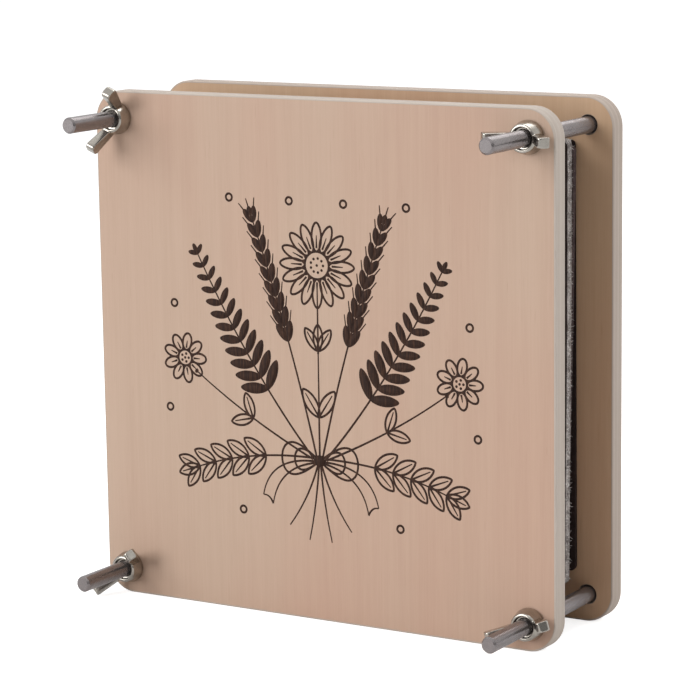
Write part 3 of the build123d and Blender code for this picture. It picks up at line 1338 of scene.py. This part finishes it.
@dataclass
class WingNut:
    """A cast nut with a tapered collar and two thick wings that lean outwards, made in millimetres."""

    corner: Corner
    bore_radius: float = 2.62
    sink_radius: float = 3.3
    sink_depth: float = 1.3
    foot_radius: float = 5.0
    foot_height: float = 1.2
    foot_ease: float = 0.2
    top_radius: float = 4.3
    height: float = 4.6
    rim_round: float = 0.7
    wing_root: float = 3.7
    wing_sink: float = 0.3
    wing_drop: float = 0.15
    wing_outer_tip: Spot = (11.5, 8.5)
    wing_inner_tip: Spot = (8.5, 11.95)
    wing_thickness: float = 3.0
    wing_taper: float = -0.1
    tip_round: float = 1.25
    edge_round: float = 0.42
    edge_steps: int = 4
    round_steps: int = 6
    seat_gap: float = 0.03
    around: int = 96
    grain: float = 0.13
    smoothing: int = 3
    smooth_share: float = 0.5

    def collar_profile(self) -> list[Spot]:
        """The collar's section as pairs of radius and height, from the bore's foot round to its top."""
        radius = self.top_radius - self.rim_round
        height = self.height - self.rim_round
        rim = []
        for step in range(self.round_steps + 1):
            angle = math.radians(90 * step / self.round_steps)
            rim.append((radius + self.rim_round * math.cos(angle), height + self.rim_round * math.sin(angle)))
        floor = self.height - self.sink_depth
        return [
            (self.bore_radius, 0.0),
            (self.foot_radius - self.foot_ease, 0.0),
            (self.foot_radius, self.foot_ease),
            (self.foot_radius, self.foot_height),
            *rim,
            (self.sink_radius, self.height),
            (self.sink_radius, floor),
            (self.bore_radius, floor),
        ]

    def wing_outline(self) -> list[Vector]:
        """The wing's side view as pairs of radius and height, with both corners of its tip rounded."""
        corners = [
            Vector((self.wing_root, self.foot_height)),
            Vector((self.foot_radius - self.wing_sink, self.foot_height)),
            Vector(self.wing_outer_tip),
            Vector(self.wing_inner_tip),
            Vector((self.wing_root, self.height - self.wing_drop)),
        ]
        outline = corners[:2]
        for index in (2, 3):
            corner = corners[index]
            before = (corners[index - 1] - corner).normalized()
            after = (corners[index + 1] - corner).normalized()
            half_angle = before.angle(after) / 2
            centre = corner + (before + after).normalized() * (self.tip_round / math.sin(half_angle))
            first = corner + before * (self.tip_round / math.tan(half_angle)) - centre
            last = corner + after * (self.tip_round / math.tan(half_angle)) - centre
            for step in range(self.round_steps + 1):
                outline.append(centre + first.slerp(last, step / self.round_steps))
        return outline + corners[4:]

    def add_wing(self, shell: Shell, side: int) -> None:
        """Adds one wing as a closed bar with round edges that reaches into the collar.

        Args:
            shell: The mesh that takes the wing.
            side: 1 for the wing towards +X and -1 for the one towards -X.
        """
        wing = bmesh.new()
        outline = self.wing_outline()
        half = self.wing_thickness / 2
        walls = [[wing.verts.new((point.x, y, point.y)) for point in outline] for y in (-half, half)]
        loft(wing, walls)
        for wall in walls:
            wing.faces.new(wall)
        rims = ring_edges(wing, walls[0]) + ring_edges(wing, walls[1])
        bevel = {"offset": self.edge_round, "segments": self.edge_steps, "profile": 0.5}
        bmesh.ops.bevel(wing, geom=rims, affect="EDGES", **bevel)
        reach = self.wing_outer_tip[0] - self.wing_root
        for vertex in wing.verts:
            share = (vertex.co.x - self.wing_root) / reach
            vertex.co.y *= 1 + self.wing_taper * (0.5 - share)
        turn = Matrix.Rotation(0.0 if side > 0 else math.pi, 3, "Z")
        bmesh.ops.rotate(wing, verts=wing.verts, matrix=turn)
        mesh = to_mesh(wing, "wing")
        shell.from_mesh(mesh)
        bpy.data.meshes.remove(mesh)

    def build(self) -> Mesh:
        """Makes the nut's mesh as one casting, standing in its place."""
        shell = bmesh.new()
        rings = []
        for radius, z in self.collar_profile():
            rings.append([shell.verts.new((x, y, z)) for x, y in section(radius, self.around)])
        loft(shell, [*rings, rings[0]])
        bmesh.ops.recalc_face_normals(shell, faces=shell.faces)
        for side in (1, -1):
            self.add_wing(shell, side)
        mesh = bpy.data.meshes.new("wing_nut")
        shell.to_mesh(mesh)
        shell.free()
        cast = self.cast(mesh)
        axis = self.corner.axis()
        seat = Vector((axis.x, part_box("front_board")[0].y - self.seat_gap * MM, axis.z))
        cast.transform(facing_front(seat, self.corner.wing_angle) @ Matrix.Scale(MM, 4))
        return cast

    def cast(self, mesh: Mesh) -> Mesh:
        """Melts the collar and wings into one skin with soft inner corners.

        Args:
            mesh: The collar and wings as closed shells.

        Returns:
            The cast mesh, with smooth faces.
        """
        holder = put("holder", mesh)
        skin = holder.modifiers.new("one skin", "REMESH")
        skin.mode = "VOXEL"
        skin.voxel_size = self.grain
        skin.use_smooth_shade = True
        soft = holder.modifiers.new("soft corners", "SMOOTH")
        soft.factor = self.smooth_share
        soft.iterations = self.smoothing
        return baked(holder)

    def place(self) -> Piece:
        """Builds and dresses the nut."""
        node = self.corner.nut
        mesh = self.build()
        mesh.materials.append(NICKEL.material())
        return show(f"{node}_cast", mesh, node, Slot.NUT_PLATING, node)


def sheet_slab(side: float, thickness: float, corner_radius: float, cells: int) -> Mesh:
    """A thin square slab with small round corners, upright and centred on the origin.

    Args:
        side: Its side.
        thickness: Its thickness, along Y.
        corner_radius: Its corners' radius.
        cells: Cells along each side between the corners.

    Returns:
        The slab.
    """
    half = side / 2
    straight = half - corner_radius
    lines = [-half, -half + corner_radius / 2]
    lines += [straight * (2 * step / cells - 1) for step in range(cells + 1)]
    lines += [half - corner_radius / 2, half]

    def rounded(x: float, z: float) -> Spot:
        """Draws a point of a square corner in to the round one."""
        a, b = (abs(x) - straight) / corner_radius, (abs(z) - straight) / corner_radius
        if a <= 0 or b <= 0:
            return x, z
        in_x = straight + corner_radius * a * math.sqrt(1 - b * b / 2)
        in_z = straight + corner_radius * b * math.sqrt(1 - a * a / 2)
        return math.copysign(in_x, x), math.copysign(in_z, z)

    shell = bmesh.new()
    rims = []
    for y in (-thickness / 2, thickness / 2):
        rows = []
        for line in lines:
            rows.append([shell.verts.new((x, y, z)) for x, z in (rounded(place, line) for place in lines)])
        for lower, upper in zip(rows, rows[1:]):
            for index in range(len(lines) - 1):
                shell.faces.new((lower[index], lower[index + 1], upper[index + 1], upper[index]))
        right, left = [row[-1] for row in rows[1:-1]], [row[0] for row in rows[-2:0:-1]]
        rims.append([*rows[0], *right, *reversed(rows[-1]), *left])
    loft(shell, rims)
    return to_mesh(shell, "slab")


class SheetRecipe(Recipe):
    """A sheet of the stack, set in its place and leaned with its neighbours at the stack's right-hand edge.

    Each pair says where a lean, a ripple or a curl starts and where it is full, or the other way round.
    """

    CLEAR_OF_BACK = (0.0, 2.35 * MM)
    CLEAR_OF_FRONT = (8 * MM, 22 * MM)
    LEAN_RIGHT = (0.0, 66 * MM)
    LEAN_UP = (5 * MM, 115 * MM)
    CURL_RIGHT = (61 * MM, 68 * MM)
    CURL_UP = (40 * MM, 148 * MM)
    RIPPLE = 0.5 * MM
    RIPPLE_SCALE = 38.0

    def __init__(self, name: str) -> None:
        """Adds the inputs that every sheet has."""
        super().__init__(name)
        self.depth, self.rise, self.back = self.size("Depth"), self.size("Rise"), self.size("Back")
        self.lean, self.curl = self.size("Lean"), self.size("Curl")
        self.aside, self.turn = self.size("Aside"), self.size("Turn")

    def set_in_stack(self, sheet: Socket) -> Socket:
        """Moves a sheet to its place and leans it: the stack gives most near the second slot from the back.

        Args:
            sheet: The sheet, centred on the origin.

        Returns:
            The sheet in its place.
        """
        graph = self.graph
        move = {
            "Geometry": sheet,
            "Translation": graph.vector(self.aside, self.depth, self.rise),
            "Rotation": graph.vector(0.0, self.turn, 0.0),
        }
        placed = self.geometry("Transform", move)
        place = self.places()
        x, y, z = graph.axes(place)
        from_back = self.back - y
        near_back = graph.spread(from_back, *self.CLEAR_OF_BACK)
        near_front = graph.spread(from_back, *self.CLEAR_OF_FRONT, 1.0, 0.0)
        right_side = graph.spread(x, *self.LEAN_RIGHT)
        upwards = graph.spread(z, *self.LEAN_UP)
        ripple = (graph.noise(place, self.RIPPLE_SCALE, 1.0) - 0.5) * self.RIPPLE
        shift = (right_side * upwards * self.lean + ripple) * near_back * near_front
        curled = graph.spread(x, *self.CURL_RIGHT) * graph.spread(z, *self.CURL_UP) * self.curl
        return self.shifted(placed, graph.vector(y=shift + curled))

    def drawn_vector(self, reach: Triple, seed: Any) -> Socket:
        """A vector for each point, drawn from a box of this reach round zero."""
        box = {"Min": tuple(-axis for axis in reach), "Max": reach, "Seed": seed}
        return self.graph.node("FunctionNodeRandomValue", box, data_type="FLOAT_VECTOR").outputs[0]


class CardRecipe(SheetRecipe):
    """A corrugated card: two liners with upright flutes between them, crushed sides and torn fibres."""

    CRUSHED_WIDTH = 2.2 * MM
    CRUSHED_SLACK = 0.04 * MM
    CRUSHED_SHORT = 1.6 * MM
    CRUSHED_CELLS = {"Vertices X": 5, "Vertices Y": 8, "Vertices Z": 360}
    FLUTE_CELLS = {"Vertices X": 253, "Vertices Y": 15}
    FLUTE_WELD = 0.005 * MM
    TEAR = 2.2 * MM
    TEAR_SCALE = 1500.0
    EDGE_WIDTH = 1.0 * MM
    EDGE_FACING = 0.6
    FIBRE_CONE = {"Vertices": 4, "Radius Top": 0.02 * MM, "Radius Bottom": 0.11 * MM}
    FIBRE_TILT = (0.9, 0.9, 0.9)
    FIBRE_LENGTHS = (0.4, 1.3)
    SPOT_SEED = 5
    TILT_SEED = 11
    LENGTH_SEED = 23

    def __init__(self) -> None:
        """Builds the tree from a liner that comes in as geometry."""
        super().__init__("Corrugated card")
        self.side, self.thickness, self.liner = self.size("Side"), self.size("Thickness"), self.size("Liner")
        self.pitch, self.fibre = self.size("Flute Pitch"), self.size("Fibre Length")
        self.density = self.size("Fibre Density")
        liner = self.entry.outputs["Geometry"]
        apart = (self.thickness - self.liner) / 2.0
        liners = [self.moved(liner, self.graph.vector(y=apart * sign)) for sign in (-1.0, 1.0)]
        edges = self.join(*liners, self.crushed_side(-1.0), self.crushed_side(1.0))
        self.close(self.set_in_stack(self.join(edges, self.medium(), self.fray(edges))))

    def medium(self) -> Socket:
        """The fluted sheet between the liners."""
        graph = self.graph
        size = {"Size X": self.side - self.CRUSHED_WIDTH * 1.6, "Size Y": self.side - self.liner * 2.0}
        grid = self.geometry("MeshGrid", size | self.FLUTE_CELLS)
        x, y, _ = graph.axes(self.places())
        wave = (x / self.pitch * (2 * math.pi)).step("SINE") * (self.thickness - self.liner * 3.0) / 2.0
        fluted = self.reshaped(grid, graph.vector(x, wave - self.liner / 2.0, y))
        return self.thickened(fluted, self.liner * -1.0, self.FLUTE_WELD)

    def crushed_side(self, sign: float) -> Socket:
        """The pulp that is crushed between the liners at one side, with a torn face.

        Args:
            sign: 1 for the side towards +X and -1 for the one towards -X.

        Returns:
            The strip of pulp.
        """
        graph = self.graph
        gap = self.thickness - self.liner * 2.0
        size = graph.vector(self.CRUSHED_WIDTH, gap - self.CRUSHED_SLACK, self.side - self.CRUSHED_SHORT)
        strip = self.geometry("MeshCube", {"Size": size} | self.CRUSHED_CELLS)
        out = (self.side - self.CRUSHED_WIDTH) / 2.0 * sign
        moved = self.moved(strip, graph.vector(x=out))
        place = self.places()
        x, _, _ = graph.axes(place)
        at_face = graph.spread(x * sign, self.side / 2.0 - self.CRUSHED_WIDTH * 0.7, self.side / 2.0)
        torn = (graph.noise(place, self.TEAR_SCALE, 3.0) - 0.6) * at_face * (self.TEAR * sign)
        return self.shifted(moved, graph.vector(x=torn))

    def fray(self, edges: Socket) -> Socket:
        """Scatters torn fibres over the card's cut edges.

        Args:
            edges: The liners and crushed sides.

        Returns:
            The fibres.
        """
        graph = self.graph
        _, facing, _ = graph.axes(self.geometry("InputNormal"))
        x, _, z = graph.axes(self.places())
        sideways = facing.step("ABSOLUTE").step("LESS_THAN", self.EDGE_FACING)
        outermost = x.step("ABSOLUTE").step("MAXIMUM", z.step("ABSOLUTE"))
        at_edge = sideways * outermost.step("GREATER_THAN", self.side / 2.0 - self.EDGE_WIDTH)
        where = {"Mesh": edges, "Selection": at_edge, "Density": self.density, "Seed": self.SPOT_SEED}
        spots = graph.node("GeometryNodeDistributePointsOnFaces", where).outputs
        cone = self.geometry("MeshCone", self.FIBRE_CONE | {"Depth": self.fibre})
        tilt = {"Rotation": spots["Rotation"]}
        tilt["Rotate By"] = self.drawn_vector(self.FIBRE_TILT, self.TILT_SEED)
        turned = graph.node("FunctionNodeRotateRotation", tilt, rotation_space="LOCAL").outputs[0]
        shortest, longest = self.FIBRE_LENGTHS
        draw = {2: shortest, 3: longest, "Seed": self.LENGTH_SEED}
        length = graph.field("FunctionNodeRandomValue", 1, draw, data_type="FLOAT")
        copies = {"Points": spots["Points"], "Instance": cone, "Rotation": turned, "Scale": length}
        return self.geometry("InstanceOnPoints", copies)


class PadRecipe(SheetRecipe):
    """A pad of thin blotting leaves, each a little out of line with the next."""

    def __init__(self) -> None:
        """Builds the tree from one leaf that comes in as geometry."""
        super().__init__("Blotting pad")
        graph = self.graph
        leaves, spacing, shift = self.count("Leaves"), self.size("Spacing"), self.size("Shift")
        seed = self.count("Seed")
        start = (leaves - 1.0) * spacing * -0.5
        run = {"Start Location": graph.vector(y=start), "Offset": graph.vector(y=spacing)}
        line = self.geometry("MeshLine", {"Count": leaves} | run)
        aside = {0: self.drawn_vector((1.0, 0.0, 1.0), seed), "Scale": shift}
        spots = self.shifted(line, graph.node("ShaderNodeVectorMath", aside, operation="SCALE").outputs[0])
        copies = {"Points": spots, "Instance": self.entry.outputs["Geometry"]}
        stack = self.geometry("InstanceOnPoints", copies)
        self.close(self.set_in_stack(self.geometry("RealizeInstances", {"Geometry": stack})))


@dataclass(frozen=True)
class Lie:
    """How one sheet lies in the stack: set aside, turned in its plane, curled at its top right and lifted."""

    aside: float = 0.0
    turn: float = 0.0
    curl: float = 0.0
    lift: float = 0.0


@dataclass
class PressingStack:
    """The sheets between the boards: corrugated cards, and pads of blotting paper between them."""

    card_side: float = 135 * MM
    blotter_side: float = 131 * MM
    corner_radius: float = 1.5 * MM
    liner: float = 0.34 * MM
    flute_pitch: float = 6.4 * MM
    fibre_length: float = 0.9 * MM
    fibre_density: float = 2.2e6
    leaves: int = 5
    leaf_gap: float = 0.03 * MM
    leaf_shift: float = 0.16 * MM
    pad_slack: float = 0.08 * MM
    lean: float = 1.45 * MM
    cells: int = 26
    # Only this pad keeps a grey paper colour; every other pad takes the near-black colour of painted shade.
    grey_pad: int = 2
    card_lies: tuple[Lie, ...] = (
        Lie(0.0, 0.0, 0.1 * MM),
        Lie(-0.2 * MM, 0.1),
        Lie(0.15 * MM, -0.08),
        Lie(-0.1 * MM, 0.05),
    )
    # The first and third pads are set flush with the cards' right-hand edge, so their near-black painted shade
    # shows as dark bands on either side of the first card.
    pad_lies: tuple[Lie, ...] = (
        Lie(2.4 * MM, -0.25, 0.0, 1.0 * MM),
        Lie(1.6 * MM, 0.9, 0.0, 0.8 * MM),
        Lie(1.9 * MM, 0.0, 0.0, 1.4 * MM),
        Lie(-0.5 * MM, 0.25),
        Lie(0.4 * MM, 0.15),
        Lie(-0.3 * MM, -0.2),
        Lie(0.5 * MM, 0.3),
        Lie(-0.2 * MM, -0.35),
        Lie(0.3 * MM, 0.2),
        Lie(-0.4 * MM, -0.15),
    )

    def common(self, node: str, lie: Lie) -> dict[str, float]:
        """The inputs that set a sheet in its node's place."""
        middle = middle_of(node)
        return {
            "Depth": middle.y,
            "Rise": middle.z + lie.lift,
            "Back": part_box("back_board")[0].y,
            "Lean": self.lean,
            "Curl": lie.curl,
            "Aside": lie.aside,
            "Turn": math.radians(lie.turn),
        }

    def place_card(self, recipe: CardRecipe, node: str, lie: Lie) -> Piece:
        """Builds and dresses one card."""
        low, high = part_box(node)
        values = self.common(node, lie) | {
            "Side": self.card_side,
            "Thickness": high.y - low.y,
            "Liner": self.liner,
            "Flute Pitch": self.flute_pitch,
            "Fibre Length": self.fibre_length,
            "Fibre Density": self.fibre_density,
        }
        liner = sheet_slab(self.card_side, self.liner, self.corner_radius, self.cells)
        mesh = recipe.bake(liner, CARD, values)
        return show(f"{node}_fluted", mesh, node, Slot.GREY_CARDBOARD, node)

    def place_pad(self, recipe: PadRecipe, number: int, lie: Lie) -> Piece:
        """Builds and dresses one pad of blotting paper."""
        node = f"blotting_sheet_{number:02d}"
        low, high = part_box(node)
        spacing = (high.y - low.y - self.pad_slack + self.leaf_gap) / self.leaves
        values = self.common(node, lie) | {
            "Leaves": self.leaves,
            "Spacing": spacing,
            "Shift": self.leaf_shift,
            "Seed": number,
        }
        leaf = sheet_slab(self.blotter_side, spacing - self.leaf_gap, self.corner_radius, self.cells)
        # Pads other than the grey one take the near-black finish of painted shade.
        mesh = recipe.bake(leaf, GREY_BLOTTER if number == self.grey_pad else PAINTED_SHADE_BLOTTER, values)
        return show(f"{node}_leaves", mesh, node, Slot.BLOTTING_PAPER, node)

    def place(self) -> None:
        """Builds and dresses every sheet."""
        card, pad = CardRecipe(), PadRecipe()
        for number, lie in enumerate(self.card_lies, 1):
            self.place_card(card, f"corrugated_card_{number:02d}", lie)
        for number, lie in enumerate(self.pad_lies, 1):
            self.place_pad(pad, number, lie)


@dataclass
class PhotoCamera:
    """A camera where the photograph was taken from."""

    azimuth: float = 31.7321
    elevation: float = 10.5423
    roll: float = -0.9212
    distance: float = 863.6 * MM
    focal_pixels: float = 2865.758
    image_pixels: float = 700.0
    aim_pixel: Spot = (318.3, 363.98)
    sensor_width: float = 36.0

    def place(self) -> None:
        """Creates the camera and makes it the scene's."""
        aim = front_of("front_board")
        turn, rise, roll = (math.radians(v) for v in (self.azimuth, self.elevation, self.roll))
        back = Vector((math.sin(turn) * math.cos(rise), -math.cos(turn) * math.cos(rise), math.sin(rise)))
        level = Vector((math.cos(turn), math.sin(turn), 0.0))
        upright = back.cross(level)
        right = math.cos(roll) * level + math.sin(roll) * upright
        up = math.cos(roll) * upright - math.sin(roll) * level
        lens = bpy.data.cameras.new("photo_camera")
        lens.sensor_width = self.sensor_width
        lens.lens = self.sensor_width * self.focal_pixels / self.image_pixels
        lens.shift_x = 0.5 - self.aim_pixel[0] / self.image_pixels
        lens.shift_y = self.aim_pixel[1] / self.image_pixels - 0.5
        lens.clip_start = 10 * MM
        camera = put("photo_camera", lens)
        facing = Matrix((right, up, back)).transposed().to_4x4()
        camera.matrix_world = Matrix.Translation(aim + back * self.distance) @ facing
        bpy.context.scene.camera = camera


@dataclass(frozen=True)
class Lamp:
    """A soft square lamp that faces the press, with its power in watts."""

    name: str
    place: Triple
    side: float
    power: float
    mirrored: bool = True

    def light(self, aim: Vector) -> None:
        """Adds the lamp, turned towards a point, to the scene."""
        data = bpy.data.lights.new(self.name, "AREA")
        data.size = self.side
        data.energy = self.power
        lamp = put(self.name, data)
        lamp.location = self.place
        lamp.rotation_mode = "QUATERNION"
        lamp.rotation_quaternion = (aim - Vector(self.place)).to_track_quat("-Z", "Y")
        lamp.visible_camera = False
        lamp.visible_glossy = self.mirrored


@dataclass
class Studio:
    """A pale floor, soft lamps and a white surround; each pair says where a side's glow starts and ends."""

    floor_size: float = 6.0
    floor_colour: Colour = (0.9, 0.9, 0.9, 1.0)
    floor_glow: float = 0.75
    mirror_glow: float = 0.15
    surround: float = 0.32
    room_glow: float = 0.25
    left_glow: float = 0.7
    behind: Spot = (-0.15, 0.5)
    above: Spot = (0.15, 0.75)
    left: Spot = (-0.8, -0.3)
    aim_height: float = 80 * MM
    lamps: tuple[Lamp, ...] = (
        Lamp("key_lamp", (-2.1, -3.5, 1.5), 2.7, 125.0),
        Lamp("top_lamp", (0.1, 0.3, 1.05), 0.7, 5.0),
        Lamp("side_lamp", (1.0, 0.3, 0.6), 0.7, 3.0, mirrored=False),
    )

    def ray_masks(self, graph: Graph) -> tuple[Field, Field]:
        """Whether the camera sees a surface itself, and whether it sees it through metal or glass."""
        path = graph.node("ShaderNodeLightPath").outputs
        mirrored = Field(graph, path["Is Glossy Ray"]).step("MAXIMUM", path["Is Transmission Ray"])
        return Field(graph, path["Is Camera Ray"]), mirrored

    def floor_material(self) -> bpy.types.Material:
        """A pale floor that shows white to the camera and keeps the press's shadow."""
        made = bpy.data.materials.new("Studio floor")
        graph = blank_graph(made)
        pale = graph.node("ShaderNodeBsdfDiffuse", {"Color": self.floor_colour})
        seen, mirrored = self.ray_masks(graph)
        strength = seen * self.floor_glow + mirrored * self.mirror_glow
        glow = graph.node("ShaderNodeEmission", {"Color": WHITE, "Strength": strength})
        both = graph.node("ShaderNodeAddShader", {0: pale.outputs[0], 1: glow.outputs[0]})
        graph.node("ShaderNodeOutputMaterial", {"Surface": both.outputs[0]})
        return made

    def place_floor(self) -> None:
        """Lays the floor."""
        shell = bmesh.new()
        bmesh.ops.create_grid(shell, x_segments=1, y_segments=1, size=self.floor_size / 2)
        mesh = bpy.data.meshes.new("studio_floor")
        shell.to_mesh(mesh)
        shell.free()
        mesh.materials.append(self.floor_material())
        put("studio_floor", mesh)

    def place_surround(self) -> None:
        """Makes the world: white where it is seen, and dimmer before the press where it is mirrored."""
        world = bpy.data.worlds.new("studio_surround")
        graph = blank_graph(world)
        seen, mirrored = self.ray_masks(graph)
        rightwards, backwards, upwards = graph.axes(graph.node("ShaderNodeTexCoord").outputs["Generated"])
        behind = graph.spread(backwards, *self.behind)
        above = graph.spread(upwards, *self.above)
        left = graph.spread(rightwards, *self.left, self.left_glow, 0.0)
        open_side = behind.step("MAXIMUM", above).step("MAXIMUM", left)
        room = open_side * (1.0 - self.room_glow) + self.room_glow
        light = (room - self.surround) * mirrored + self.surround
        strength = light.step("MAXIMUM", seen)
        sky = graph.node("ShaderNodeBackground", {"Color": WHITE, "Strength": strength})
        graph.node("ShaderNodeOutputWorld", {"Surface": sky.outputs[0]})
        bpy.context.scene.world = world

    def place(self) -> None:
        """Sets up the floor, the lamps and the surround."""
        self.place_floor()
        for lamp in self.lamps:
            lamp.light(Vector((0.0, 0.0, self.aim_height)))
        self.place_surround()


def main() -> None:
    """Builds the press piece by piece, and then the studio."""
    logging.basicConfig(level=logging.INFO, format="%(name)s: %(message)s")
    bpy.context.scene.view_settings.view_transform = "Standard"
    PhotoCamera().place()
    Board("front_board", "front_board", VENEER).place()
    Bouquet().place()
    Board("back_board", "base", SHADE_TINTED_BACK_VENEER, socket_width=5.3 * MM, socket_depth=3.65 * MM).place()
    thread = ThreadRecipe()
    for corner in Corner:
        CarriageBolt(corner, thread).place()
        WingNut(corner).place()
    PressingStack().place()
    Studio().place()


if __name__ == "__main__":
    main()
